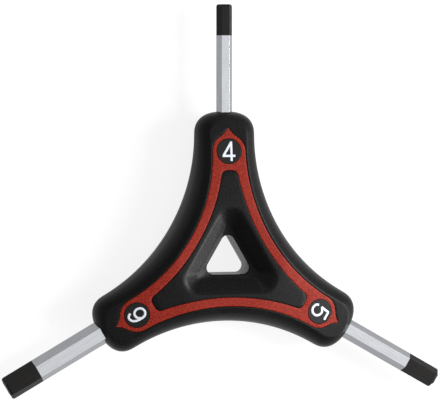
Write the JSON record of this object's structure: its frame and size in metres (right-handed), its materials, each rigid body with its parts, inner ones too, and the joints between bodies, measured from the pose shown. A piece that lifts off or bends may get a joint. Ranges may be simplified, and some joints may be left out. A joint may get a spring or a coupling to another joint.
{
  "type": "y-shaped hex wrench",
  "caption": "Y-shaped hand wrench: a moulded handle with a hanging hole through its middle and a straight hexagonal steel key standing out of the end of each arm.",
  "frame": {"origin": "middle of the three arms, on the back face's flat, so z = 0 is the surface that the wrench lies on", "axes": "+Y out along the arm with the 4 mm key, +X to the right seen from the front, with the 5 mm key at -30 degrees and the 6 mm key at 210 degrees, +Z out of the front face"},
  "size_m": [0.1285, 0.1117, 0.0176],
  "materials": {
    "key_steel": "satin",
    "handle_red": "satin",
    "grip_black": "matte",
    "disc_black": "satin"
  },
  "bodies": {
    "root": {"handle_core": "handle_red", "outer_grip": "grip_black", "front_centre_pad": "grip_black", "back_centre_pad": "grip_black", "key_4mm": "key_steel", "key_5mm": "key_steel", "key_6mm": "key_steel", "front_size_disc_4": "disc_black", "front_size_disc_5": "disc_black", "front_size_disc_6": "disc_black", "back_size_disc_4": "disc_black", "back_size_disc_5": "disc_black", "back_size_disc_6": "disc_black"}
  },
  "joints": []
}
